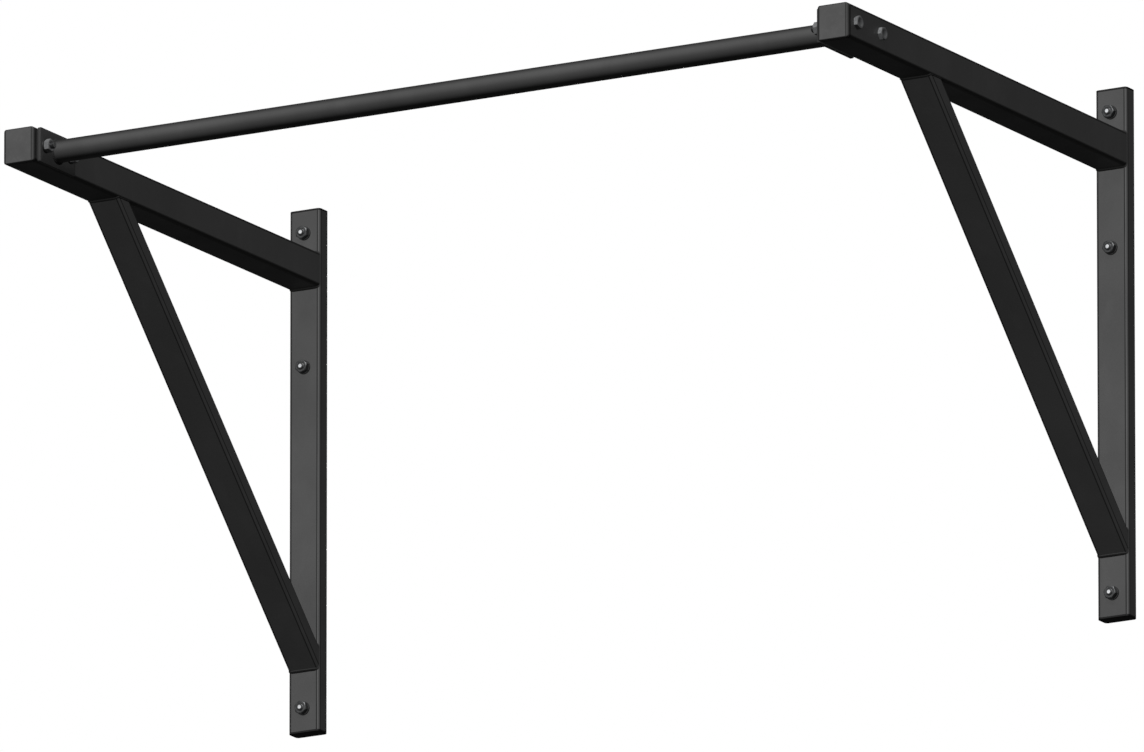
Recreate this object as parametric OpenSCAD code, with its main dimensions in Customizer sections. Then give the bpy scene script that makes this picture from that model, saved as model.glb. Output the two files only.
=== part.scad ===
// Wall-mounted pull-up bar: two welded brackets carry a round bar on bolted flange plates.
// +X runs along the bar, -Y points into the room, +Z is up. The wall is the plane Y = 0.
// The origin lies on the wall, midway between the brackets and at mid-height of the uprights.

/* [Overall] */
// Distance between the centre lines of the two brackets
bracket_spacing = 1300; // [900:10:1600]
// Height of each upright, end caps included
upright_height = 760; // [740:5:900]
// Distance from the wall to the tip of each arm
arm_reach = 810; // [760:5:830]

/* [Tubes] */
// Width across every bracket tube, along the bar
tube_width = 50; // [50:1:60]
// Thickness of the uprights and braces
flat_depth = 25; // [25:1:30]
// Height of the square arm tube
arm_height = 50; // [50:1:60]
// Wall thickness of the bracket tubes
tube_wall = 2.5; // [2:0.5:3]
// Outer corner radius of the bracket tubes
corner_radius = 5; // [4:0.5:6]
// Distance from the top of the upright to the top of the arm
arm_drop = 65; // [60:1:80]
// Distance from the bottom of the upright to the lower edge of the brace
brace_foot_height = 90; // [80:1:110]
// Angle of the brace above the horizontal
brace_angle = 45; // [43:1:46]

/* [Bar] */
// Outer diameter of the bar
bar_diameter = 32; // [28:1:35]
// Wall thickness of the bar
bar_wall = 3; // [2:0.5:4]
// Distance from the tip of the arm back to the axis of the bar
bar_setback = 57.5; // [57:0.5:70]

/* [Flange plates] */
// Length of the plate along the arm
plate_length = 95; // [88:1:96]
// Height of the plate
plate_height = 50; // [40:1:50]
// Thickness of the plate
plate_thickness = 5; // [4:1:8]
// Radius of the plate's corners
plate_corner = 3; // [1:0.5:6]
// Distance between the two bolts of a plate
plate_bolt_spacing = 67; // [64:1:67]

/* [Wall fixing] */
// Distance from each end of the upright to its outer wall stud
stud_inset = 35; // [30:1:38]
// Distance from the top of the upright to the middle wall stud
middle_stud_drop = 230; // [180:5:400]
// Length of stud standing out behind the wall face of the upright
stud_embedment = 23; // [15:1:60]
// Diameter of the plain waist of the stud
stud_waist = 9; // [8:0.1:9]
// Length of thread standing past the nut
stud_end_length = 2; // [1.5:0.5:5]

/* [M10 fasteners] */
// Thread diameter
thread_diameter = 10; // [10:10]
// Clearance hole diameter in tubes and plates
hole_diameter = 11; // [10.5:0.5:12]
// Width of nuts and bolt heads across their flats
across_flats = 17; // [16:1:17]
// Height of a nut
nut_height = 8; // [8:0.4:8.4]
// Height of a bolt head
head_height = 6.4; // [6:0.2:7]
// Outer diameter of a washer
washer_diameter = 20; // [18:1:22]
// Bore of a washer
washer_bore = 10.5; // [10.5:0.5:11]
// Thickness of a washer
washer_thickness = 2; // [1.6:0.2:2.4]
// Length of a bar bolt under its head
bar_bolt_length = 70; // [70:5:80]

/* [Caps and welds] */
// Thickness of the caps on the uprights
upright_cap_thickness = 3; // [2:0.5:4]
// Thickness of the caps on the arm tips
arm_cap_thickness = 5; // [5:0.5:6]
// Depth of the plug behind a cap
plug_depth = 12; // [8:1:12]
// Wall thickness of the plug
plug_wall = 2; // [1.5:0.5:3]
// Gap between the plug and the inside of the tube
plug_gap = 0.2; // [0.1:0.1:0.5]
// Radius of the weld beads
weld_radius = 2; // [1.6:0.2:3]

/* [Hidden] */
$fn = 64;
// Extra length of a cutter past the surface it cuts
cut = 1;
arm_z = upright_height / 2 - arm_drop - arm_height / 2;
arm_under_z = arm_z - arm_height / 2;
arm_top_z = arm_z + arm_height / 2;
arm_tube_length = arm_reach - arm_cap_thickness - flat_depth;
bar_y = bar_setback - arm_reach;
bar_length = bracket_spacing - tube_width - 2 * plate_thickness;
brace_foot_z = brace_foot_height - upright_height / 2;
// Height of the brace's cut face on the upright, and length of the one on the arm
brace_foot_span = flat_depth / cos(brace_angle);
brace_top_span = flat_depth / sin(brace_angle);
// Distance from the upright to the brace's front corner under the arm
brace_run = (arm_under_z - brace_foot_z) / tan(brace_angle);
top_stud_z = upright_height / 2 - stud_inset;
middle_stud_z = upright_height / 2 - middle_stud_drop;
bottom_stud_z = stud_inset - upright_height / 2;
front_bolt_y = bar_y - plate_bolt_spacing / 2;
rear_bolt_y = bar_y + plate_bolt_spacing / 2;
inner_radius = corner_radius - tube_wall;
// How far the weld beads along a joint's sides sit inside the tube's width
bead_inset = 0.75 * weld_radius;
hex_circle = across_flats / cos(30);
// Height of the chamfer on a hexagon's corners
hex_chamfer = (hex_circle - across_flats) / 2 * tan(30);
thread_chamfer = 1;
paint = [0.10, 0.10, 0.11];
plastic = [0.07, 0.07, 0.07];
zinc = [0.72, 0.74, 0.76];

// ---- Placement ----

// Each bracket is drawn about X = 0 with its outer side at +X, then put on the left or the right
module on_left() { translate([-bracket_spacing / 2, 0, 0]) mirror([1, 0, 0]) children(); }
module on_right() { translate([bracket_spacing / 2, 0, 0]) children(); }

// A bar bolt's axis: +Z points outwards, with its origin on the arm's outer face
module at_bar_bolt(y) { translate([tube_width / 2, y, arm_z]) rotate([0, 90, 0]) children(); }

// A wall stud's axis: +Z points into the room, with its origin on the wall
module at_wall_stud(z) { translate([0, 0, z]) rotate([90, 0, 0]) children(); }

// ---- Outlines ----

module rounded_rectangle(width, depth, radius) {
    square([width - 2 * radius, depth], center = true);
    square([width, depth - 2 * radius], center = true);
    for (x = [-1, 1], y = [-1, 1]) {
        translate([x * (width / 2 - radius), y * (depth / 2 - radius)]) circle(radius);
    }
}

module tube_outline(width, depth) {
    difference() {
        rounded_rectangle(width, depth, corner_radius);
        rounded_rectangle(width - 2 * tube_wall, depth - 2 * tube_wall, inner_radius);
    }
}

// ---- Bracket tubes ----

// Places a linear extrusion so that it runs along -Y from the upright's front face at arm height
module along_arm() { translate([0, -flat_depth, arm_z]) rotate([90, 0, 0]) children(); }

module upright_body(height) {
    translate([0, -flat_depth / 2, -height / 2]) {
        linear_extrude(height) rounded_rectangle(tube_width, flat_depth, corner_radius);
    }
}

module arm_body() {
    along_arm() linear_extrude(arm_tube_length) rounded_rectangle(tube_width, arm_height, corner_radius);
}

// Side view of the brace: a parallelogram cut flush to the upright and to the arm
module brace_side() {
    rotate([90, 0, 90]) linear_extrude(tube_width + 2 * cut, center = true) polygon([
        [-flat_depth, brace_foot_z],
        [-flat_depth, brace_foot_z + brace_foot_span],
        [-flat_depth - brace_run + brace_top_span, arm_under_z],
        [-flat_depth - brace_run, arm_under_z]
    ]);
}

// Puts an outline square to the brace's axis, long enough to pass both of its ends
module along_brace() {
    translate([0, -flat_depth, brace_foot_z]) rotate([90 - brace_angle, 0, 0]) {
        translate([0, flat_depth / 2, -flat_depth]) {
            linear_extrude(brace_run / cos(brace_angle) + 2 * flat_depth) children();
        }
    }
}

module brace_body() {
    intersection() {
        along_brace() rounded_rectangle(tube_width, flat_depth, corner_radius);
        brace_side();
    }
}

module upright() {
    color(paint) difference() {
        translate([0, -flat_depth / 2, upright_cap_thickness - upright_height / 2]) {
            linear_extrude(upright_height - 2 * upright_cap_thickness) tube_outline(tube_width, flat_depth);
        }
        for (z = [top_stud_z, middle_stud_z, bottom_stud_z]) {
            at_wall_stud(z) translate([0, 0, -cut]) cylinder(h = flat_depth + 2 * cut, d = hole_diameter);
        }
    }
}

module arm() {
    color(paint) difference() {
        along_arm() linear_extrude(arm_tube_length) tube_outline(tube_width, arm_height);
        for (y = [front_bolt_y, rear_bolt_y]) {
            at_bar_bolt(y) translate([0, 0, -tube_width - cut]) {
                cylinder(h = tube_width + 2 * cut, d = hole_diameter);
            }
        }
    }
}

module brace() {
    color(paint) intersection() {
        along_brace() tube_outline(tube_width, flat_depth);
        brace_side();
    }
}

// ---- End caps ----

// Hollow plug that holds a cap in a tube of the given size; it runs along +Z from the cap
module plug(width, depth) {
    fit = 2 * (tube_wall + plug_gap);
    linear_extrude(plug_depth) difference() {
        rounded_rectangle(width - fit, depth - fit, inner_radius - plug_gap);
        square([width - fit - 2 * plug_wall, depth - fit - 2 * plug_wall], center = true);
    }
}

// Cap for the end of an upright, with its outer face at Z = 0 and its plug along +Z
module upright_cap() {
    color(plastic) translate([0, -flat_depth / 2, 0]) {
        linear_extrude(upright_cap_thickness) rounded_rectangle(tube_width, flat_depth, corner_radius);
        translate([0, 0, upright_cap_thickness]) plug(tube_width, flat_depth);
    }
}

module upright_bottom_cap() { translate([0, 0, -upright_height / 2]) upright_cap(); }
module upright_top_cap() { mirror([0, 0, 1]) upright_bottom_cap(); }

// Cap for the tip of an arm; its two upright front edges are rounded like the tube's corners
module arm_end_cap() {
    color(plastic) translate([0, -arm_reach, arm_z]) {
        intersection() {
            translate([0, arm_cap_thickness, 0]) rotate([90, 0, 0]) {
                linear_extrude(arm_cap_thickness) rounded_rectangle(tube_width, arm_height, corner_radius);
            }
            translate([0, tube_width / 2, 0]) linear_extrude(arm_height + 2 * cut, center = true) {
                rounded_rectangle(tube_width, tube_width, corner_radius);
            }
        }
        translate([0, arm_cap_thickness, 0]) rotate([-90, 0, 0]) plug(tube_width, arm_height);
    }
}

// ---- Bar and flange plates ----

module pull_up_bar() {
    color(paint) translate([0, bar_y, arm_z]) rotate([0, 90, 0]) difference() {
        cylinder(h = bar_length, d = bar_diameter, center = true);
        cylinder(h = bar_length + 2 * cut, d = bar_diameter - 2 * bar_wall, center = true);
    }
}

module flange_plate() {
    color(paint) translate([-tube_width / 2 - plate_thickness, bar_y, arm_z]) rotate([90, 0, 90]) {
        linear_extrude(plate_thickness) difference() {
            rounded_rectangle(plate_length, plate_height, plate_corner);
            for (side = [-1, 1]) translate([side * plate_bolt_spacing / 2, 0]) circle(d = hole_diameter);
        }
    }
}

// ---- Welds ----

// Beads round the joint of a tube that stands on the upright's front face, from bottom_z to top_z
module upright_joint_beads(bottom_z, top_z) {
    for (x = [-1, 1] * (tube_width / 2 - bead_inset)) {
        translate([x, bead_inset - flat_depth, bottom_z - weld_radius]) {
            cylinder(h = top_z - bottom_z + 2 * weld_radius, r = weld_radius);
        }
    }
    for (z = [bottom_z, top_z]) {
        translate([0, -flat_depth, z]) rotate([0, 90, 0]) {
            cylinder(h = tube_width - 2 * bead_inset, r = weld_radius, center = true);
        }
    }
}

module arm_weld() {
    color(paint) difference() {
        upright_joint_beads(arm_under_z, arm_top_z);
        upright_body(upright_height);
        arm_body();
    }
}

module brace_foot_weld() {
    color(paint) difference() {
        upright_joint_beads(brace_foot_z, brace_foot_z + brace_foot_span);
        upright_body(upright_height);
        brace_body();
    }
}

module brace_top_weld() {
    front_y = -flat_depth - brace_run;
    color(paint) difference() {
        union() {
            for (x = [-1, 1] * (tube_width / 2 - bead_inset)) {
                translate([x, front_y - weld_radius, arm_under_z + bead_inset]) rotate([-90, 0, 0]) {
                    cylinder(h = brace_top_span + 2 * weld_radius, r = weld_radius);
                }
            }
            for (y = [front_y, front_y + brace_top_span]) {
                translate([0, y, arm_under_z]) rotate([0, 90, 0]) {
                    cylinder(h = tube_width - 2 * bead_inset, r = weld_radius, center = true);
                }
            }
        }
        arm_body();
        brace_body();
    }
}

// Ring bead between the end of the bar and its flange plate
module bar_weld() {
    color(paint) translate([-tube_width / 2 - plate_thickness, bar_y, arm_z]) rotate([0, -90, 0]) {
        rotate_extrude() intersection() {
            translate([bar_diameter / 2, 0]) circle(weld_radius);
            translate([bar_diameter / 2, 0]) square(2 * weld_radius);
        }
    }
}

// ---- Fasteners ----

// Hexagon from Z = 0 up, with chamfered corners at its top, turned about its axis
module hexagon(height, turn) {
    rotate([0, 0, turn]) intersection() {
        cylinder(h = height, d = hex_circle, $fn = 6);
        union() {
            cylinder(h = height - hex_chamfer, d = hex_circle + cut);
            translate([0, 0, height - hex_chamfer]) {
                cylinder(h = hex_chamfer, d1 = hex_circle, d2 = across_flats);
            }
        }
    }
}

// Threaded length from Z = 0 up, with a chamfered end
module threaded_end(length) {
    cylinder(h = length - thread_chamfer, d = thread_diameter);
    translate([0, 0, length - thread_chamfer]) {
        cylinder(h = thread_chamfer, d1 = thread_diameter, d2 = thread_diameter - 2 * thread_chamfer);
    }
}

module nut(turn) {
    difference() {
        hexagon(nut_height, turn);
        translate([0, 0, -cut]) cylinder(h = nut_height + 2 * cut, d = thread_diameter);
    }
}

module washer() {
    linear_extrude(washer_thickness) difference() {
        circle(d = washer_diameter);
        circle(d = washer_bore);
    }
}

module bar_bolt(y, turn) {
    color(zinc) at_bar_bolt(y) {
        hexagon(head_height, turn);
        mirror([0, 0, 1]) threaded_end(bar_bolt_length);
    }
}

module bar_nut(y, turn) {
    color(zinc) at_bar_bolt(y) {
        translate([0, 0, -tube_width - plate_thickness - washer_thickness]) mirror([0, 0, 1]) nut(turn);
    }
}

module bar_washer(y) {
    color(zinc) at_bar_bolt(y) translate([0, 0, -tube_width - plate_thickness]) mirror([0, 0, 1]) washer();
}

// Stud with a plain waist inside the upright and a thread at each end
module wall_stud(z) {
    waist_length = flat_depth + washer_thickness;
    color(zinc) at_wall_stud(z) {
        mirror([0, 0, 1]) threaded_end(stud_embedment);
        cylinder(h = waist_length, d = stud_waist);
        translate([0, 0, waist_length]) threaded_end(nut_height + stud_end_length);
    }
}

module wall_nut(z, turn) {
    color(zinc) at_wall_stud(z) translate([0, 0, flat_depth + washer_thickness]) nut(turn);
}

module wall_washer(z) { color(zinc) at_wall_stud(z) translate([0, 0, flat_depth]) washer(); }

// ---- Nodes ----

pull_up_bar();

on_left() upright();  // left_upright
on_left() arm();  // left_arm
on_left() brace();  // left_brace
on_left() flange_plate();  // left_flange_plate
on_left() arm_end_cap();  // left_arm_end_cap
on_left() upright_top_cap();  // left_upright_top_cap
on_left() upright_bottom_cap();  // left_upright_bottom_cap
on_left() arm_weld();  // left_arm_weld
on_left() brace_foot_weld();  // left_brace_foot_weld
on_left() brace_top_weld();  // left_brace_top_weld
on_left() bar_weld();  // left_bar_weld
on_left() bar_bolt(front_bolt_y, 0);  // left_front_bar_bolt
on_left() bar_nut(front_bolt_y, 10);  // left_front_bar_nut
on_left() bar_washer(front_bolt_y);  // left_front_bar_washer
on_left() bar_bolt(rear_bolt_y, 20);  // left_rear_bar_bolt
on_left() bar_nut(rear_bolt_y, 30);  // left_rear_bar_nut
on_left() bar_washer(rear_bolt_y);  // left_rear_bar_washer
on_left() wall_stud(top_stud_z);  // left_top_wall_stud
on_left() wall_nut(top_stud_z, 30);  // left_top_wall_nut
on_left() wall_washer(top_stud_z);  // left_top_wall_washer
on_left() wall_stud(middle_stud_z);  // left_middle_wall_stud
on_left() wall_nut(middle_stud_z, 40);  // left_middle_wall_nut
on_left() wall_washer(middle_stud_z);  // left_middle_wall_washer
on_left() wall_stud(bottom_stud_z);  // left_bottom_wall_stud
on_left() wall_nut(bottom_stud_z, 20);  // left_bottom_wall_nut
on_left() wall_washer(bottom_stud_z);  // left_bottom_wall_washer

on_right() upright();  // right_upright
on_right() arm();  // right_arm
on_right() brace();  // right_brace
on_right() flange_plate();  // right_flange_plate
on_right() arm_end_cap();  // right_arm_end_cap
on_right() upright_top_cap();  // right_upright_top_cap
on_right() upright_bottom_cap();  // right_upright_bottom_cap
on_right() arm_weld();  // right_arm_weld
on_right() brace_foot_weld();  // right_brace_foot_weld
on_right() brace_top_weld();  // right_brace_top_weld
on_right() bar_weld();  // right_bar_weld
on_right() bar_bolt(front_bolt_y, 0);  // right_front_bar_bolt
on_right() bar_nut(front_bolt_y, 30);  // right_front_bar_nut
on_right() bar_washer(front_bolt_y);  // right_front_bar_washer
on_right() bar_bolt(rear_bolt_y, 40);  // right_rear_bar_bolt
on_right() bar_nut(rear_bolt_y, 50);  // right_rear_bar_nut
on_right() bar_washer(rear_bolt_y);  // right_rear_bar_washer
on_right() wall_stud(top_stud_z);  // right_top_wall_stud
on_right() wall_nut(top_stud_z, 0);  // right_top_wall_nut
on_right() wall_washer(top_stud_z);  // right_top_wall_washer
on_right() wall_stud(middle_stud_z);  // right_middle_wall_stud
on_right() wall_nut(middle_stud_z, 10);  // right_middle_wall_nut
on_right() wall_washer(middle_stud_z);  // right_middle_wall_washer
on_right() wall_stud(bottom_stud_z);  // right_bottom_wall_stud
on_right() wall_nut(bottom_stud_z, 50);  // right_bottom_wall_nut
on_right() wall_washer(bottom_stud_z);  // right_bottom_wall_washer
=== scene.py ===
import math
import random

import bmesh
import bpy
from mathutils import Matrix, Vector


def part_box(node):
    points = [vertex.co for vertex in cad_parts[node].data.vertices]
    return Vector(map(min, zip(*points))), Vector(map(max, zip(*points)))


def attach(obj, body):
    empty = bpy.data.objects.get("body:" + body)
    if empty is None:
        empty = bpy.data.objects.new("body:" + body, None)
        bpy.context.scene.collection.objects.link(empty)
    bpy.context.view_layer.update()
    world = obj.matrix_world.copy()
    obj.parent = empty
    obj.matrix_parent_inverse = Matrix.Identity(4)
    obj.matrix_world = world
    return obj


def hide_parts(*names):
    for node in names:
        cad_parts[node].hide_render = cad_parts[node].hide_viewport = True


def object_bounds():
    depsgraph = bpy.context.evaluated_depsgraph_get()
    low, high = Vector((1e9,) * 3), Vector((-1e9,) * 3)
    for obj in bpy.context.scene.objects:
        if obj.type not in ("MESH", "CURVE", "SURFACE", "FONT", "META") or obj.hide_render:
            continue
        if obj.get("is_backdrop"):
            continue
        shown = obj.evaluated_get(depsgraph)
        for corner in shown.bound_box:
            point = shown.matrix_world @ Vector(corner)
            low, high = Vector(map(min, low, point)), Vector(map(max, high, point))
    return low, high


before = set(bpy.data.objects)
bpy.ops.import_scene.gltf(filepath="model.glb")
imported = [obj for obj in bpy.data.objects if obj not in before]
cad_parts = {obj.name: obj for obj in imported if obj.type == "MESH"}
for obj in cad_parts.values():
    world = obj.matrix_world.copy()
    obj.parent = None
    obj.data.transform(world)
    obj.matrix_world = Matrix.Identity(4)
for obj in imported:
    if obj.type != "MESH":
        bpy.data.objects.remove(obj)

CAD_LOW, CAD_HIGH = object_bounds()
MM = 0.001
BODY = "root"
SIDES = ("left", "right")
ROOM = Vector((0, -1, 0))            # direction from the wall into the room
OUTWARD = {"left": Vector((-1, 0, 0)), "right": Vector((1, 0, 0))}


# ---- Camera: an all but parallel view from below and from the right, through a very long lens ----

AZIMUTH = math.radians(29.995)
ELEVATION = math.radians(-14.77)
SENSOR_WIDTH = 36                    # millimetres
VIEW_WIDTH = 1.5987                  # metres across the picture, at the frame's origin
VIEW_SHIFT_RIGHT = -0.1986           # picture centre, right of and above the frame's origin
VIEW_SHIFT_UP = 0.0558
CAMERA_DISTANCE = 48.0
CLIP_MARGIN = 10.0                   # how far past the frame's origin the camera sees

towards_camera = Vector((
    math.sin(AZIMUTH) * math.cos(ELEVATION),
    -math.cos(AZIMUTH) * math.cos(ELEVATION),
    math.sin(ELEVATION),
))
camera_turn = (-towards_camera).to_track_quat("-Z", "Y")
camera_data = bpy.data.cameras.new("camera")
camera_data.sensor_width = SENSOR_WIDTH
camera_data.lens = SENSOR_WIDTH * CAMERA_DISTANCE / VIEW_WIDTH
camera_data.clip_end = CAMERA_DISTANCE + CLIP_MARGIN
camera = bpy.data.objects.new("camera", camera_data)
camera.rotation_mode = "QUATERNION"
camera.rotation_quaternion = camera_turn
camera.location = camera_turn @ Vector((VIEW_SHIFT_RIGHT, VIEW_SHIFT_UP, CAMERA_DISTANCE))
bpy.context.scene.collection.objects.link(camera)
bpy.context.scene.camera = camera


# ---- Light and background ----

scene = bpy.context.scene
scene.view_settings.view_transform = "Standard"


def add_sun(name, towards, strength, softness, shadow=True):
    """A distant light that shines from the direction towards; softness is its width in degrees."""
    data = bpy.data.lights.new(name, "SUN")
    data.energy = strength
    data.angle = math.radians(softness)
    data.use_shadow = shadow
    lamp = bpy.data.objects.new(name, data)
    lamp.rotation_mode = "QUATERNION"
    lamp.rotation_quaternion = Vector(towards).normalized().to_track_quat("Z", "Y")
    scene.collection.objects.link(lamp)


KEY_DIRECTION = (0.204, -0.848, 0.600)
add_sun("key", KEY_DIRECTION, strength=4.17, softness=16, shadow=False)
add_sun("key_shadows", KEY_DIRECTION, strength=0.28, softness=24)
add_sun("back", -towards_camera, strength=3.5, softness=6)

AMBIENT = 0.042                      # grey light from all sides
BACKDROP = 1.0                       # what the camera sees behind everything
world = bpy.data.worlds.new("studio")
world.use_nodes = True
scene.world = world
tree = world.node_tree
tree.nodes.clear()
path = tree.nodes.new("ShaderNodeLightPath")
choose = tree.nodes.new("ShaderNodeMixShader")
world_output = tree.nodes.new("ShaderNodeOutputWorld")
tree.links.new(path.outputs["Is Camera Ray"], choose.inputs["Fac"])
for socket, strength in ((1, AMBIENT), (2, BACKDROP)):
    background = tree.nodes.new("ShaderNodeBackground")
    background.inputs["Color"].default_value = (1, 1, 1, 1)
    background.inputs["Strength"].default_value = strength
    tree.links.new(background.outputs["Background"], choose.inputs[socket])
tree.links.new(choose.outputs["Shader"], world_output.inputs["Surface"])


# ---- Materials ----

class Shader:
    """A material's node tree, with short calls for the nodes that the finishes use."""

    def __init__(self, name):
        self.material = bpy.data.materials.new(name)
        self.material.use_nodes = True
        self.tree = self.material.node_tree
        self.bsdf = self.tree.nodes["Principled BSDF"]
        self.coords = self.tree.nodes.new("ShaderNodeTexCoord")

    def link(self, source, target):
        """Sets target from a node's output, or from a plain number, colour or vector."""
        if isinstance(source, bpy.types.NodeSocket):
            self.tree.links.new(source, target)
        else:
            target.default_value = source

    def mapped(self, scale=(1, 1, 1), turn=(0, 0, 0)):
        """The object's own coordinates, scaled and turned."""
        node = self.tree.nodes.new("ShaderNodeMapping")
        node.inputs["Scale"].default_value = scale
        node.inputs["Rotation"].default_value = turn
        self.link(self.coords.outputs["Object"], node.inputs["Vector"])
        return node.outputs["Vector"]

    def noise(self, scale, detail=2.0, vector=None):
        node = self.tree.nodes.new("ShaderNodeTexNoise")
        node.inputs["Scale"].default_value = scale
        node.inputs["Detail"].default_value = detail
        self.link(vector or self.coords.outputs["Object"], node.inputs["Vector"])
        return node.outputs["Fac"]

    def spread(self, value, low, high, to_low=0.0, to_high=1.0):
        """Maps low to high onto to_low to to_high, and holds the ends."""
        node = self.tree.nodes.new("ShaderNodeMapRange")
        self.link(value, node.inputs["Value"])
        for key, number in (("From Min", low), ("From Max", high), ("To Min", to_low), ("To Max", to_high)):
            node.inputs[key].default_value = number
        return node.outputs["Result"]

    def math(self, operation, a, b=0.0):
        node = self.tree.nodes.new("ShaderNodeMath")
        node.operation = operation
        self.link(a, node.inputs[0])
        self.link(b, node.inputs[1])
        return node.outputs["Value"]

    def mix(self, factor, a, b):
        """Colour a where factor is 0 and b where it is 1."""
        node = self.tree.nodes.new("ShaderNodeMix")
        node.data_type = "RGBA"
        self.link(factor, node.inputs[0])
        self.link(a, node.inputs[6])         # 6, 7 and 2 are the node's colour sockets
        self.link(b, node.inputs[7])
        return node.outputs[2]

    def bump(self, height, distance, strength=1.0, normal=None):
        node = self.tree.nodes.new("ShaderNodeBump")
        node.inputs["Distance"].default_value = distance
        node.inputs["Strength"].default_value = strength
        self.link(height, node.inputs["Height"])
        if normal is not None:
            self.link(normal, node.inputs["Normal"])
        return node.outputs["Normal"]

    def ramp(self, value, stops):
        """Grey levels between the stops, which are (position, level) pairs."""
        node = self.tree.nodes.new("ShaderNodeValToRGB")
        self.link(value, node.inputs["Fac"])
        elements = node.color_ramp.elements
        while len(elements) < len(stops):
            elements.new(0.5)
        for element, (position, level) in zip(elements, stops):
            element.position = position
            element.color = (level, level, level, 1)
        return node.outputs["Color"]

    def corner(self, tilt, core, below=1.0):
        """1 where a tube's corners start to turn, core on their middle and 0 on its flat faces: where painted
        shade lines go.

        tilt turns the tube about X until it lies square. The low corners get all this times below.
        """
        turned = self.tree.nodes.new("ShaderNodeVectorRotate")
        turned.rotation_type = "X_AXIS"
        turned.inputs["Angle"].default_value = tilt
        self.link(self.coords.outputs["Normal"], turned.inputs["Vector"])
        parts = self.tree.nodes.new("ShaderNodeSeparateXYZ")
        self.link(turned.outputs["Vector"], parts.inputs["Vector"])
        x, y, z = (self.math("ABSOLUTE", parts.outputs[axis]) for axis in "XYZ")
        # The normal's largest part is 1 on a face and 0.71 on the middle of a corner.
        flatness = self.math("MAXIMUM", self.math("MAXIMUM", x, y), z)
        bands = self.ramp(flatness, ((0.80, core), (0.90, core), (0.945, 1), (0.992, 1), (0.9996, 0)))
        return self.math("MULTIPLY", bands, self.spread(parts.outputs["Z"], -0.12, 0.0, below, 1.0))

    def near_tip(self, y, reach):
        """1 on the surface as far as y and a little behind it, fading to 0 over the reach."""
        parts = self.tree.nodes.new("ShaderNodeSeparateXYZ")
        self.link(self.coords.outputs["Object"], parts.inputs["Vector"])
        return self.spread(parts.outputs["Y"], y + reach, y + 0.6 * reach)

    def height_bands(self, stops):
        """Level that follows how far the surface faces up, from -1 at the bottom to 1 at the top."""
        parts = self.tree.nodes.new("ShaderNodeSeparateXYZ")
        self.link(self.coords.outputs["Normal"], parts.inputs["Vector"])
        facing_up = self.spread(parts.outputs["Z"], -1.0, 1.0)
        return self.ramp(facing_up, [((z + 1) / 2, level) for z, level in stops])

    def edge(self, radius, start=0.98, full=0.80):
        """From 0 on flat ground to 1 on a sharp edge; a full nearer 1 gives a wider line."""
        bevel = self.tree.nodes.new("ShaderNodeBevel")
        bevel.samples = 4
        bevel.inputs["Radius"].default_value = radius
        geometry = self.tree.nodes.new("ShaderNodeNewGeometry")
        dot = self.tree.nodes.new("ShaderNodeVectorMath")
        dot.operation = "DOT_PRODUCT"
        self.link(bevel.outputs["Normal"], dot.inputs[0])
        self.link(geometry.outputs["Normal"], dot.inputs[1])
        return self.spread(dot.outputs["Value"], start, full)

    def finish(self, colour, roughness, normal, metallic=0.0, specular=0.5):
        """Feeds the shader and returns the finished material."""
        self.link(colour, self.bsdf.inputs["Base Color"])
        self.link(roughness, self.bsdf.inputs["Roughness"])
        self.link(normal, self.bsdf.inputs["Normal"])
        self.bsdf.inputs["Metallic"].default_value = metallic
        self.bsdf.inputs["Specular IOR Level"].default_value = specular
        return self.material


def grey(value, tint=0.0):
    """A grey with a little blue for tint above 0."""
    return (value * (1 - tint), value, value * (1 + tint), 1)


SHADE = 0.95                         # how far painted shade darkens a finish in its bands
SHADE_TONE = 0.08                    # the share of its tone that the painted shade leaves


def powder_coat(name, value, painted_shade_at, roughness=0.5, peel=450.0, peel_depth=0.00007, specular=0.3):
    """Satin charcoal powder coat: orange peel, fine grain, faint clouds and rubs, with painted shade in
    bands.

    The third argument takes the Shader and returns where painted shade makes the coat darker and duller, from
    0 to 1.
    """
    s = Shader(name)
    clouds = s.noise(scale=7.0, detail=4.0)
    grain = s.noise(scale=1300.0)
    tone = s.math("ADD", s.math("MULTIPLY", clouds, 0.6), s.math("MULTIPLY", grain, 0.4))
    colour = s.mix(s.spread(tone, 0.35, 0.65), grey(value * 0.88), grey(value * 1.12))
    rubs = s.spread(s.noise(scale=38.0, detail=6.0, vector=s.mapped(scale=(1, 1, 0.5))), 0.52, 0.66)
    colour = s.mix(s.math("MULTIPLY", rubs, 0.10), colour, grey(value * 1.6))
    # painted shade: in these bands the coat is darkened towards black and dulled, standing in for shade
    painted_shade = painted_shade_at(s)
    colour = s.mix(s.math("MULTIPLY", painted_shade, SHADE), colour, grey(value * SHADE_TONE))
    dull = s.spread(s.noise(scale=16.0, detail=5.0), 0.3, 0.7, roughness - 0.05, roughness + 0.07)
    dull = s.math("ADD", dull, s.math("MULTIPLY", painted_shade, 0.3))
    normal = s.bump(s.noise(peel), distance=peel_depth, strength=0.8)
    normal = s.bump(s.noise(scale=2600.0, detail=1.0), distance=0.00001, strength=0.5, normal=normal)
    return s.finish(colour, dull, normal, specular=specular)


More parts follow.
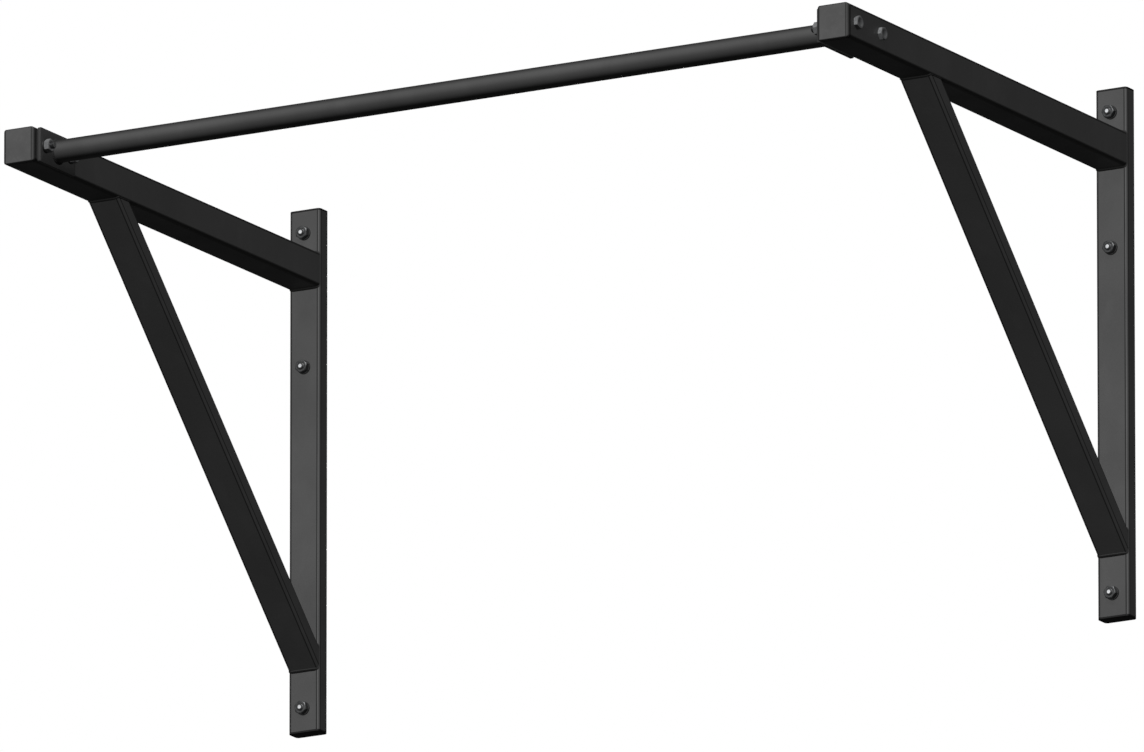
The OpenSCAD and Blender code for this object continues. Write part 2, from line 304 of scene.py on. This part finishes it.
def zinc(name, value, roughness, metallic=0.85, edge_shade=0.0006):
    """Zinc-plated steel: patchy tone, hairline scratches, and painted shade that reaches in from the edges.
    """
    s = Shader(name)
    patches = s.noise(scale=260.0, detail=4.0)
    hairlines = s.noise(scale=900.0, detail=3.0, vector=s.mapped(scale=(1, 0.08, 1), turn=(0.4, 0.3, 0.7)))
    tone = s.math("ADD", s.math("MULTIPLY", patches, 0.7), s.math("MULTIPLY", hairlines, 0.3))
    colour = s.mix(s.spread(tone, 0.35, 0.65), grey(value * 0.82, 0.03), grey(value * 1.15, 0.01))
    dull = s.spread(patches, 0.35, 0.65, roughness - 0.06, roughness + 0.08)
    # painted shade: the metal darkens towards a fifth of its tone near its edges
    colour = s.mix(s.math("MULTIPLY", s.edge(edge_shade), 0.8), colour, grey(value * 0.2))
    normal = s.bump(hairlines, distance=0.000012, strength=0.6)
    return s.finish(colour, dull, normal, metallic)


def moulded_plastic(name, value, core):
    """Charcoal polypropylene cap with a spark-eroded texture and painted shade round its rim."""
    s = Shader(name)
    texture = s.noise(scale=1700.0, detail=3.0)
    clouds = s.noise(scale=30.0, detail=4.0)
    colour = s.mix(s.spread(clouds, 0.3, 0.7), grey(value * 0.88), grey(value * 1.12))
    scuffs = s.spread(s.noise(scale=240.0, detail=5.0), 0.55, 0.7)
    colour = s.mix(s.math("MULTIPLY", scuffs, 0.12), colour, grey(value * 1.8))
    # painted shade: the cap's rim and rounded edges are darkened towards black
    rim = s.math("MAXIMUM", s.edge(0.0024, full=0.94), s.corner(tilt=0.0, core=core))
    colour = s.mix(s.math("MULTIPLY", rim, SHADE), colour, grey(value * SHADE_TONE))
    dull = s.spread(texture, 0.3, 0.7, 0.58, 0.7)
    return s.finish(colour, dull, s.bump(texture, distance=0.00003, strength=0.7), specular=0.25)


PAINT = 0.060                        # the coat's grey, as linear reflectance
ARM_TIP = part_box("left_arm")[0].y
TIP_SHADE_BAND = 0.003                     # painted shade band on the arm's coat beside its end cap
BRACE_TILT = math.radians(45)
BAR_SHADE_BANDS = (                        # (how far the bar's surface faces up, how dark the painted shade makes its coat there)
    (-0.8, 0.0), (-0.6, 0.15), (-0.3, 0.2), (-0.1, 0.06), (0.1, 0.0), (0.35, 0.08), (0.55, 0.4), (0.75, 0.8),
)


def arm_painted_shade(s):
    """Painted shade: dark corners, the low ones only faintly, and a dark band beside the end cap."""
    return s.math("MAXIMUM", s.corner(tilt=0.0, core=1.0, below=0.15), s.near_tip(ARM_TIP, TIP_SHADE_BAND))


# painted shade: dark lines along the corners of the upright and brace tubes
upright_paint = powder_coat("charcoal_coat_upright", PAINT, lambda s: s.corner(tilt=0.0, core=0.0))
arm_paint = powder_coat("charcoal_coat_arm", PAINT, arm_painted_shade, roughness=0.55, specular=0.25)
brace_paint = powder_coat("charcoal_coat_brace", PAINT, lambda s: s.corner(BRACE_TILT, core=0.2))
# painted shade: the bar's coat darkens in bands by how far it faces up, most near its top
bar_paint = powder_coat(
    "charcoal_coat_bar", PAINT, lambda s: s.height_bands(BAR_SHADE_BANDS),
    peel=600.0, peel_depth=0.00003, specular=0.2)
# painted shade: dark lines along the plate's edges
plate_paint = powder_coat("charcoal_coat_plate", PAINT, lambda s: s.edge(0.0012))
# painted shade: the plate's rim gets a copy of the coat at half its tone, darker still along its edges
shaded_rim_paint = powder_coat("charcoal_coat_plate_rim_shaded", PAINT * 0.5, lambda s: s.edge(0.0016))
# painted shade: the weld beads get a copy of the coat at 0.4 of its tone, darker still along their edges
shaded_weld_paint = powder_coat(
    "charcoal_coat_weld_shaded", PAINT * 0.4, lambda s: s.edge(0.0006), roughness=0.62, specular=0.15)
cap_plastic = moulded_plastic("moulded_arm_cap", PAINT * 1.08, core=0.5)
dark_cap_plastic = moulded_plastic("moulded_upright_cap", PAINT * 0.20, core=1.0)
bolt_metal = zinc("zinc_bolt", value=0.18, roughness=0.38, metallic=0.3, edge_shade=0.0011)
thread_metal = zinc("zinc_thread", value=0.08, roughness=0.5)
bolt_end_metal = zinc("zinc_bolt_end", value=0.13, roughness=0.4, metallic=0.3)
bar_nut_metal = zinc("zinc_bar_nut", value=0.20, roughness=0.32, metallic=0.3, edge_shade=0.0013)
wall_nut_metal = zinc("zinc_wall_nut", value=0.09, roughness=0.5, edge_shade=0.0022)
# painted shade: the washers are given a very low tone, so they read as a dark ring of shade round the nuts
shaded_washer_metal = zinc("zinc_washer_shaded", value=0.025, roughness=0.6, metallic=0.6, edge_shade=0.0022)
# bare steel on the cut stud ends, with a painted highlight: far lighter than the zinc round it
cut_end_and_highlight_metal = zinc("zinc_cut_end_highlight", value=0.75, roughness=0.4, metallic=0.35)


# ---- Building meshes from rings of points ----

SHARP_ANGLE = math.radians(28)


def ring_faces(ring_count, point_count, closed):
    """Faces that join each ring to the next; the last joins the first, or both ends are filled."""
    faces = []
    for i in range(ring_count if closed else ring_count - 1):
        a = i * point_count
        b = (i + 1) % ring_count * point_count
        for j in range(point_count):
            k = (j + 1) % point_count
            faces.append((a + j, a + k, b + k, b + j))
    if not closed:
        faces.append(tuple(reversed(range(point_count))))
        faces.append(tuple(range((ring_count - 1) * point_count, ring_count * point_count)))
    return faces


def add_piece(name, nodes, materials, rings, closed=False, place=None, material_of=None):
    """Makes one solid from rings of points, in place of the CAD nodes, on the object's body."""
    mesh = bpy.data.meshes.new(name)
    points = [place @ p if place else p for ring in rings for p in ring]
    mesh.from_pydata(points, [], ring_faces(len(rings), len(rings[0]), closed))
    work = bmesh.new()
    work.from_mesh(mesh)
    bmesh.ops.recalc_face_normals(work, faces=work.faces)
    work.to_mesh(mesh)
    work.free()
    for material in materials:
        mesh.materials.append(material)
    if material_of:
        for face in mesh.polygons:
            face.material_index = material_of(face)
    mesh.shade_smooth()
    mesh.set_sharp_from_angle(angle=SHARP_ANGLE)
    piece = bpy.data.objects.new(name, mesh)
    scene.collection.objects.link(piece)
    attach(piece, BODY)
    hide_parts(*nodes)
    return piece


def rounded_outline(width, depth, radius, corner_steps=8, edge_steps=6):
    """Points round a rectangle with rounded corners, centred on the origin."""
    def on_corner(corner, share):
        """The point at the given share of the way round a corner; corners count from +X +Y."""
        x_side, y_side = ((1, 1), (-1, 1), (-1, -1), (1, -1))[corner % 4]
        angle = math.pi / 2 * (corner + share)
        centre = Vector((x_side * (width / 2 - radius), y_side * (depth / 2 - radius)))
        return centre + radius * Vector((math.cos(angle), math.sin(angle)))

    points = []
    for corner in range(4):
        points += [on_corner(corner, step / corner_steps) for step in range(corner_steps + 1)]
        last, following = points[-1], on_corner(corner + 1, 0)
        points += [last.lerp(following, step / edge_steps) for step in range(1, edge_steps)]
    return points


def quarter_round(radius, steps):
    """(distance in from the side, distance down from the face) along an eased edge, from side to face."""
    angles = [math.pi / 2 * step / steps for step in range(steps + 1)]
    return [(radius * (1 - math.cos(angle)), radius * (1 - math.sin(angle))) for angle in angles]


def placement(origin, direction):
    """Matrix that puts +Z along direction, with its origin at the point given."""
    return Matrix.Translation(origin) @ direction.to_track_quat("Z", "Y").to_matrix().to_4x4()


def middle_of(node):
    """Middle of a CAD node's box."""
    low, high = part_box(node)
    return (low + high) / 2


# ---- Fasteners ----

HEX_FLATS = (-28.6, -23, -15, -7.5, 0, 7.5, 15, 23, 28.6)    # degrees from a flat's middle
ACROSS_FLATS = 17 * MM
CHAMFER_RADIUS = 0.475 * ACROSS_FLATS
CHAMFER_SLOPE = math.tan(math.radians(30))
THREAD_RADIUS = 5 * MM
THREAD_PITCH = 1.5 * MM
THREAD_DEPTH = 0.92 * MM
THREAD_ROWS = 8                      # rows of points for each turn
THREAD_STEEPNESS = 1.3               # these two leave a flat crest and a flat root
THREAD_ROOT = 0.12
END_CHAMFER = 1.0 * MM
END_TOUCH = 0.1 * MM                 # a face this near to the end belongs to it

HEAD_DISH = ((4.6, 0.35), (5.3, 0.08), (5.6, 0.0))    # radius and depth, millimetres
HEAD_FACE_RADIUS = 0.48 * ACROSS_FLATS
HEAD_FACE_HEIGHT = 0.5 * MM          # of the round face under a bolt head
BOLT_SHANK = 50 * MM                 # plain length under the head
BOLT_THREAD_START = 52 * MM

NUT_BORE_RADIUS = 5.02 * MM
NUT_SINK_RADIUS = 5.5 * MM
NUT_SINK_DEPTH = 0.5 * MM

WASHER_BORE_RADIUS = 5.25 * MM
WASHER_BORE_BEVEL = 0.12 * MM        # below
WASHER_RIM_BEVEL = 0.1 * MM
WASHER_TOP_RIM = ((0.0, 0.45), (0.08, 0.22), (0.24, 0.07), (0.5, 0.0))    # in and down, millimetres
WASHER_TOP_BORE = ((0.3, 0.0), (0.08, 0.1), (0.0, 0.3))                   # out and down, millimetres

STUD_WAIST_RADIUS = 4.5 * MM
STUD_WAIST_RUNOUT = 0.5 * MM
STUD_END_RADIUS = 2.6 * MM           # flat left on the cut end


def hex_angles(turn):
    """(angle round the axis, angle from the middle of the flat) of each point of a ring."""
    return [(math.radians(60 * flat + a) + turn, math.radians(a)) for flat in range(6) for a in HEX_FLATS]


def corner_turn(node, place):
    """How far the CAD hexagon's corners are turned about its axis."""
    inverse = place.inverted()
    flat_points = [(inverse @ v.co).to_2d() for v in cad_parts[node].data.vertices]
    corner = max(flat_points, key=lambda point: point.length)
    return math.atan2(corner.y, corner.x) - math.radians(30)


def circle_ring(angles, radius, z):
    """A round ring at height z."""
    return [Vector((radius * math.cos(t), radius * math.sin(t), z)) for t, _ in angles]


def hex_ring(angles, z, chamfer=0):
    """A ring on the flats at height z; a chamfer of 1 or -1 lets its corners fall or rise with the cone."""
    points = []
    for t, a in angles:
        radius = ACROSS_FLATS / 2 / math.cos(a)
        fall = chamfer * max(0.0, radius - CHAMFER_RADIUS) * CHAMFER_SLOPE
        points.append(Vector((radius * math.cos(t), radius * math.sin(t), z - fall)))
    return points


def thread_rings(angles, z_from, z_to, chamfer_from=False, chamfer_to=False):
    """Rings along a right-handed thread from z_from to z_to."""
    length = abs(z_to - z_from)
    rows = max(2, round(length / THREAD_PITCH * THREAD_ROWS))
    rings = []
    for row in range(rows + 1):
        z = z_from + (z_to - z_from) * row / rows
        limit = THREAD_RADIUS
        if chamfer_to:
            limit = min(limit, THREAD_RADIUS - END_CHAMFER + abs(z_to - z))
        if chamfer_from:
            limit = min(limit, THREAD_RADIUS - END_CHAMFER + abs(z - z_from))
        ring = []
        for t, _ in angles:
            phase = (z / THREAD_PITCH - t / (2 * math.pi)) % 1
            crest = min(1.0, max(0.0, THREAD_STEEPNESS * (1 - abs(2 * phase - 1)) - THREAD_ROOT))
            r = min(limit, THREAD_RADIUS - THREAD_DEPTH * (1 - crest))
            ring.append(Vector((r * math.cos(t), r * math.sin(t), z)))
        rings.append(ring)
    return rings


def add_bar_bolt(side, end):
    """Hex bolt through the arm and the plate: washer face, chamfered head, threaded end."""
    node = f"{side}_{end}_bar_bolt"
    outward = OUTWARD[side]
    low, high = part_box(node)
    arm_low, arm_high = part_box(f"{side}_arm")
    face_x = arm_low.x if side == "left" else arm_high.x
    centre = (low + high) / 2
    place = placement(Vector((face_x, centre.y, centre.z)), outward)
    angles = hex_angles(corner_turn(node, place))
    head = high.x - face_x if side == "right" else face_x - low.x
    tip = head - (high.x - low.x)
    rings = [circle_ring(angles, radius * MM, head - depth * MM) for radius, depth in HEAD_DISH]
    rings += [
        circle_ring(angles, CHAMFER_RADIUS, head),
        hex_ring(angles, head, chamfer=1),
        hex_ring(angles, HEAD_FACE_HEIGHT),
        circle_ring(angles, HEAD_FACE_RADIUS, HEAD_FACE_HEIGHT),
        circle_ring(angles, HEAD_FACE_RADIUS, 0),
        circle_ring(angles, THREAD_RADIUS, 0),
        circle_ring(angles, THREAD_RADIUS, -BOLT_SHANK),
    ]
    rings += thread_rings(angles, -BOLT_THREAD_START, tip, chamfer_to=True)
    back = place.inverted()

    def bolt_part(face):
        """0 on the head, 1 on the shank and its thread, 2 on the flat end."""
        height = (back @ face.center).z
        if height > 0:
            return 0
        return 2 if height < tip + END_TOUCH else 1

    add_piece(
        f"{side}_{end}_bar_bolt_threaded", [node], [bolt_metal, thread_metal, bolt_end_metal],
        rings, place=place, material_of=bolt_part)


def add_nut(node, direction, metal):
    """Hex nut with both ends chamfered and a countersunk bore."""
    low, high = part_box(node)
    height = abs((high - low).dot(direction))
    place = placement(middle_of(node) - direction * height / 2, direction)
    angles = hex_angles(corner_turn(node, place))
    rings = [
        circle_ring(angles, NUT_BORE_RADIUS, NUT_SINK_DEPTH),
        circle_ring(angles, NUT_SINK_RADIUS, 0),
        circle_ring(angles, CHAMFER_RADIUS, 0),
        hex_ring(angles, 0, chamfer=-1),
        hex_ring(angles, height, chamfer=1),
        circle_ring(angles, CHAMFER_RADIUS, height),
        circle_ring(angles, NUT_SINK_RADIUS, height),
        circle_ring(angles, NUT_BORE_RADIUS, height - NUT_SINK_DEPTH),
    ]
    add_piece(f"{node}_chamfered", [node], [metal], rings, closed=True, place=place)


def add_washer(node, direction):
    """Punched washer: crisp below, rolled over on top."""
    low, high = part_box(node)
    thickness = abs((high - low).dot(direction))
    radius = (high - low).z / 2
    bore = WASHER_BORE_RADIUS
    place = placement(middle_of(node) - direction * thickness / 2, direction)
    angles = hex_angles(0)
    profile = [
        (bore, WASHER_BORE_BEVEL), (bore + WASHER_BORE_BEVEL, 0),
        (radius - WASHER_RIM_BEVEL, 0), (radius, WASHER_RIM_BEVEL),
    ]
    profile += [(radius - inset * MM, thickness - drop * MM) for inset, drop in WASHER_TOP_RIM]
    profile += [(bore + outset * MM, thickness - drop * MM) for outset, drop in WASHER_TOP_BORE]
    rings = [circle_ring(angles, r, z) for r, z in profile]
    add_piece(f"{node}_punched", [node], [shaded_washer_metal], rings, closed=True, place=place)


def add_wall_stud(side, level):
    """Stud in the wall: thread, plain waist in the upright, thread under the nut, cut end of bare steel
    lightened further as a painted highlight.
    """
    node = f"{side}_{level}_wall_stud"
    low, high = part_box(node)
    centre = middle_of(node)
    place = placement(Vector((centre.x, 0, centre.z)), ROOM)
    angles = hex_angles(0)
    waist_end = -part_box(f"{side}_{level}_wall_washer")[0].y
    tip = -low.y
    rings = thread_rings(angles, -high.y, 0, chamfer_from=True)
    for z in (STUD_WAIST_RUNOUT, waist_end - STUD_WAIST_RUNOUT):
        rings.append(circle_ring(angles, STUD_WAIST_RADIUS, z))
    rings += thread_rings(angles, waist_end, tip, chamfer_to=True)
    rings.append(circle_ring(angles, STUD_END_RADIUS, tip))
    far_end = place @ Vector((0, 0, tip))

    def bright_end(face):
        """1 on the cut end, 0 elsewhere."""
        return 1 if (face.center - far_end).length < END_TOUCH else 0

    add_piece(
        f"{side}_{level}_wall_stud_threaded", [node], [thread_metal, cut_end_and_highlight_metal], rings,
        place=place, material_of=bright_end)


for side in SIDES:
    for end in ("front", "rear"):
        add_bar_bolt(side, end)
        add_nut(f"{side}_{end}_bar_nut", -OUTWARD[side], bar_nut_metal)
        add_washer(f"{side}_{end}_bar_washer", -OUTWARD[side])
    for level in ("top", "middle", "bottom"):
        add_wall_stud(side, level)
        add_nut(f"{side}_{level}_wall_nut", ROOM, wall_nut_metal)
        add_washer(f"{side}_{level}_wall_washer", ROOM)


# ---- Weld beads ----

RIPPLE_PITCH = 2.4 * MM
RIPPLE_DEPTH = 0.11                  # share of the bead's leg
RIPPLE_SWEEP = 0.35                  # how far each ripple runs ahead at the toes, in ripples
DRIFT_DEPTH = 0.06                   # share of the leg by which the bead swells and thins along its way
DRIFT_WAVES = 5
BEAD_POINTS = 16
BEAD_FLATNESS = -0.75                # power that shapes the section: 0 is round, -1 has flat faces
BEAD_STEP = 0.4 * MM
BAR_BEAD_POINTS = 300                # round the bar
CORNER_EASE = 8                      # points either side over which a line's corners are rounded


def even_points(corners, step):
    """Points along a closed line of straight runs, about one step apart, with eased corners."""
    points = []
    for i, start in enumerate(corners):
        end = corners[(i + 1) % len(corners)]
        count = max(2, round((end - start).length / step))
        points += [start.lerp(end, k / count) for k in range(count)]
    size = len(points)
    window = range(-CORNER_EASE, CORNER_EASE + 1)
    return [sum((points[(i + k) % size] for k in window), Vector()) / len(window) for i in range(size)]


def add_bead(name, node, line, normal, legs, seed):
    """Rippled fillet weld along a closed line about square to normal; legs has its size at each point."""
    draw = random.Random(seed)
    size = len(line)
    waves = [
        (draw.uniform(3, 9), draw.uniform(0, 2 * math.pi), draw.uniform(0.3, 1.0)) for _ in range(DRIFT_WAVES)
    ]
    travelled = 0.0
    rings = []
    total = sum((line[(i + 1) % size] - line[i]).length for i in range(size))
    ripples = round(total / RIPPLE_PITCH)
    for i, point in enumerate(line):
        tangent = (line[(i + 1) % size] - line[i - 1]).normalized()
        aside = tangent.cross(normal).normalized()
        share = travelled / total
        drift = sum(h * math.sin(2 * math.pi * round(f) * share + p) for f, p, h in waves) / DRIFT_WAVES
        ring = []
        for j in range(BEAD_POINTS):
            angle = 2 * math.pi * j / BEAD_POINTS
            across, up = math.cos(angle), math.sin(angle)
            phase = (share * ripples + RIPPLE_SWEEP * (across ** 4 + up ** 4)) % 1
            flatness = (abs(across) + abs(up)) ** BEAD_FLATNESS
            reach = legs[i] * flatness * (1 - RIPPLE_DEPTH * phase ** 2 + DRIFT_DEPTH * drift)
            ring.append(point + reach * (across * aside + up * normal))
        rings.append(ring)
        travelled += (line[(i + 1) % size] - point).length
    add_piece(name, [node], [shaded_weld_paint], rings, closed=True)


WELD_LEG = 2.8 * MM
SIDE_LEG = 1.6 * MM                  # where the bead lies in the groove beside a tube
GROOVE = 1.5 * MM                    # how far the side beads sit inside the tube's width
SLIM_START = 7 * MM                  # from the tube's side: where the bead starts to slim down
SLIM_LENGTH = 5 * MM
FIRST_SEED = 11


def joint_line(x_low, x_high, low, high, put):
    """Closed line round a joint: its sides lie in the groove beside the tube."""
    left, right = x_low + GROOVE, x_high - GROOVE
    corners = [
        put(left, low, 0), put(right, low, 0), put(right, low + GROOVE, 1), put(right, high - GROOVE, 1),
        put(right, high, 0), put(left, high, 0), put(left, high - GROOVE, 1), put(left, low + GROOVE, 1),
    ]
    return even_points(corners, BEAD_STEP)


def leg_at(x, half_width):
    """The bead's leg at a distance x from the tube's middle: it slims down towards the tube's sides."""
    share = min(1.0, max(0.0, (abs(x) - half_width + SLIM_START) / SLIM_LENGTH))
    return WELD_LEG + (SIDE_LEG - WELD_LEG) * share


seed = FIRST_SEED
for side in SIDES:
    up_low, up_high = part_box(f"{side}_upright")
    arm_low, arm_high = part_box(f"{side}_arm")
    brace_low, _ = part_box(f"{side}_brace")
    wall_side_y = up_low.y
    under_z = arm_low.z
    brace_span = (up_high.y - up_low.y) * math.sqrt(2)    # a 45-degree cut through the same tube

    def on_upright(x, z, deep):
        return Vector((x, wall_side_y + deep * GROOVE, z))

    def on_arm(x, y, deep):
        return Vector((x, y, under_z + deep * GROOVE))

    joints = [
        ("arm_weld", on_upright, arm_low.z, arm_high.z, ROOM),
        ("brace_foot_weld", on_upright, brace_low.z, brace_low.z + brace_span, ROOM),
        ("brace_top_weld", on_arm, brace_low.y, brace_low.y + brace_span, Vector((0, 0, -1))),
    ]
    for label, put, low, high, normal in joints:
        line = joint_line(arm_low.x, arm_high.x, low, high, put)
        legs = [leg_at(p.x - (arm_low.x + arm_high.x) / 2, (arm_high.x - arm_low.x) / 2) for p in line]
        add_bead(f"{side}_{label}_bead", f"{side}_{label}", line, normal, legs, seed)
        seed += 1
    bar_low, bar_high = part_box("pull_up_bar")
    bar_radius = (bar_high.z - bar_low.z) / 2
    end_x = bar_low.x if side == "left" else bar_high.x
    centre = Vector((end_x, (bar_low.y + bar_high.y) / 2, (bar_low.z + bar_high.z) / 2))
    turns = [2 * math.pi * k / BAR_BEAD_POINTS for k in range(BAR_BEAD_POINTS)]
    circle = [centre + bar_radius * Vector((0, math.cos(turn), math.sin(turn))) for turn in turns]
    legs = [WELD_LEG] * BAR_BEAD_POINTS
    add_bead(f"{side}_bar_weld_bead", f"{side}_bar_weld", circle, -OUTWARD[side], legs, seed)
    seed += 1


# ---- End caps ----

CAP_CORNER = 5 * MM
TIGHTEST_CORNER = 0.2 * MM
PLUG_GAP = 2.7 * MM                  # from the cap's rim in to the plug
PLUG_WALL = 2 * MM
PLUG_FLOOR = 1 * MM                  # how far the plug's hollow goes past the tube's mouth
PLUG_LEAD = (0.3 * MM, 1 * MM)       # width and length of the taper at the plug's end
SEAM = 0.35 * MM
EASE_STEPS = 4
ARM_CAP_EASE = 1.3 * MM
ARM_CAP_INSETS = (1.7, 2.2, 2.8, 3.5, 4.2, 5.0, 6.0)    # millimetres, over the face
UPRIGHT_CAP_EASE = 0.9 * MM
UPRIGHT_CAP_DISH = (                 # inset and dip of the face, millimetres
    (2.6, 0.0), (2.9, 0.06), (3.3, 0.19), (3.6, 0.25), (4.2, 0.25), (6.0, 0.25), (9.0, 0.25),
)


def outline_ring(width, depth, inset, height):
    """Outline of the cap drawn in by inset; height is a number or a function of the point."""
    radius = max(CAP_CORNER - inset, TIGHTEST_CORNER)
    points = rounded_outline(width - 2 * inset, depth - 2 * inset, radius)
    return [Vector((p.x, p.y, height(p) if callable(height) else height)) for p in points]


def plug_rings(width, depth, plug_end):
    """A cap's rings from the floor of its hollow plug round to the seam at the tube's mouth."""
    taper, lead = PLUG_LEAD
    return [
        outline_ring(width, depth, PLUG_GAP + PLUG_WALL, PLUG_FLOOR),
        outline_ring(width, depth, PLUG_GAP + PLUG_WALL, plug_end),
        outline_ring(width, depth, PLUG_GAP + taper, plug_end),
        outline_ring(width, depth, PLUG_GAP, plug_end + lead),
        outline_ring(width, depth, PLUG_GAP, 0),
        outline_ring(width, depth, SEAM, 0),
        outline_ring(width, depth, 0, SEAM),
    ]


def add_arm_cap(side):
    """Cap for an arm's tip: its two upright edges are fully rounded, its rim eased, its plug in the tube."""
    node = f"{side}_arm_end_cap"
    low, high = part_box(node)
    arm_low, arm_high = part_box(f"{side}_arm")
    width, depth = high.x - low.x, high.z - low.z
    thickness = arm_low.y - low.y
    plug_end = -(high.y - arm_low.y)
    place = placement(Vector(((low.x + high.x) / 2, arm_low.y, (low.z + high.z) / 2)), ROOM)

    def front(point, drop=0.0):
        """Height of the face, which falls away over the two upright edges."""
        over = max(0.0, abs(point.x) - (width / 2 - CAP_CORNER))
        fall = CAP_CORNER - math.sqrt(max(0.0, CAP_CORNER ** 2 - min(over, CAP_CORNER) ** 2))
        return max(thickness - fall - drop, SEAM)

    rings = plug_rings(width, depth, plug_end)
    for inset, drop in quarter_round(ARM_CAP_EASE, EASE_STEPS):
        rings.append(outline_ring(width, depth, inset, lambda p, d=drop: front(p, d)))
    rings += [outline_ring(width, depth, inset * MM, front) for inset in ARM_CAP_INSETS]
    add_piece(f"{node}_moulded", [node], [cap_plastic], rings, place=place)


def add_upright_cap(side, level, direction):
    """Flat cap for an end of an upright, with an eased rim, a faint dish and its plug in the tube."""
    node = f"{side}_upright_{level}_cap"
    low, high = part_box(node)
    tube_low, tube_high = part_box(f"{side}_upright")
    seam_z = tube_high.z if level == "top" else tube_low.z
    width, depth = high.x - low.x, high.y - low.y
    thickness = (high.z - seam_z) if level == "top" else (seam_z - low.z)
    plug_end = thickness - (high.z - low.z)
    centre = middle_of(node)
    place = placement(Vector((centre.x, centre.y, seam_z)), direction)
    rings = plug_rings(width, depth, plug_end)
    for inset, drop in quarter_round(UPRIGHT_CAP_EASE, EASE_STEPS):
        rings.append(outline_ring(width, depth, inset, thickness - drop))
    for inset, dip in UPRIGHT_CAP_DISH:
        rings.append(outline_ring(width, depth, inset * MM, thickness - dip * MM))
    add_piece(f"{node}_moulded", [node], [dark_cap_plastic], rings, place=place)


for side in SIDES:
    add_arm_cap(side)
    add_upright_cap(side, "top", Vector((0, 0, 1)))
    add_upright_cap(side, "bottom", Vector((0, 0, -1)))


# ---- Flange plates ----

PLATE_CORNER = 3 * MM
PLATE_EASE = 0.6 * MM
PLATE_EASE_STEPS = 3
HOLE_RADIUS = 5.5 * MM
HOLE_POINTS = 48


def add_plate(side):
    """Flange plate with eased edges and its two bolt holes."""
    node = f"{side}_flange_plate"
    low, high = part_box(node)
    length, height, thickness = high.y - low.y, high.z - low.z, high.x - low.x
    outward = OUTWARD[side]
    centre = middle_of(node)
    place = placement(centre, outward)
    long_axis = place.to_3x3().inverted() @ Vector((0, 1, 0))
    wide = (length, height) if abs(long_axis.x) > 0.5 else (height, length)
    edge = quarter_round(PLATE_EASE, PLATE_EASE_STEPS)
    rings = []
    for sign, profile in ((-1, reversed(edge)), (1, edge)):
        for inset, drop in profile:
            z = sign * (thickness / 2 - drop)
            outline = rounded_outline(wide[0] - 2 * inset, wide[1] - 2 * inset, PLATE_CORNER - inset)
            rings.append([Vector((p.x, p.y, z)) for p in outline])

    def rim_part(face):
        """1 on the rim, 0 on the two faces."""
        return 1 if abs(face.normal.dot(outward)) < 0.5 else 0

    piece = add_piece(
        f"{node}_eased", [node], [plate_paint, shaded_rim_paint], rings,
        place=place, material_of=rim_part)
    for end in ("front", "rear"):
        bolt_centre = middle_of(f"{side}_{end}_bar_bolt")
        bpy.ops.mesh.primitive_cylinder_add(
            vertices=HOLE_POINTS, radius=HOLE_RADIUS, depth=3 * thickness,
            location=(centre.x, bolt_centre.y, bolt_centre.z), rotation=(0, math.pi / 2, 0))
        cutter = bpy.context.object
        hole = piece.modifiers.new(f"{end}_hole", "BOOLEAN")
        hole.operation = "DIFFERENCE"
        hole.solver = "EXACT"
        hole.object = cutter
        evaluated = piece.evaluated_get(bpy.context.evaluated_depsgraph_get())
        cut = bpy.data.meshes.new_from_object(evaluated)
        piece.modifiers.clear()
        piece.data = cut
        bpy.data.objects.remove(cutter)
    piece.data.name = piece.name


for side in SIDES:
    add_plate(side)


# ---- Finishes of the CAD nodes that stay ----

for side in SIDES:
    for label, material in (("upright", upright_paint), ("arm", arm_paint), ("brace", brace_paint)):
        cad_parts[f"{side}_{label}"].data.materials[0] = material
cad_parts["pull_up_bar"].data.materials[0] = bar_paint


# ---- Floor, well below the object and seen only from above, so that the low camera sees past it ----

FLOOR_DROP = 5.6
FLOOR_SIZE = 16.0
FLOOR_TONE = 0.62
floor_mesh = bpy.data.meshes.new("floor")
half = FLOOR_SIZE / 2
floor_z = CAD_LOW.z - FLOOR_DROP
floor_mesh.from_pydata(
    [(-half, -half, floor_z), (half, -half, floor_z), (half, half, floor_z), (-half, half, floor_z)],
    [], [(0, 1, 2, 3)])
floor = bpy.data.objects.new("floor", floor_mesh)
scene.collection.objects.link(floor)
floor_paint = Shader("pale_floor")
floor_grain = floor_paint.bump(floor_paint.noise(scale=400.0), distance=0.0001, strength=0.2)
floor_paint.finish(grey(FLOOR_TONE), roughness=0.9, normal=floor_grain)
floor_nodes = floor_paint.tree.nodes
underside = floor_nodes.new("ShaderNodeNewGeometry").outputs["Backfacing"]
one_sided = floor_nodes.new("ShaderNodeMixShader")
floor_paint.link(underside, one_sided.inputs["Fac"])
floor_paint.link(floor_paint.bsdf.outputs["BSDF"], one_sided.inputs[1])
floor_paint.link(floor_nodes.new("ShaderNodeBsdfTransparent").outputs["BSDF"], one_sided.inputs[2])
floor_paint.link(one_sided.outputs["Shader"], floor_nodes["Material Output"].inputs["Surface"])
floor_mesh.materials.append(floor_paint.material)
floor.visible_diffuse = False
floor.visible_glossy = False
floor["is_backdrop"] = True

low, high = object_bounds()
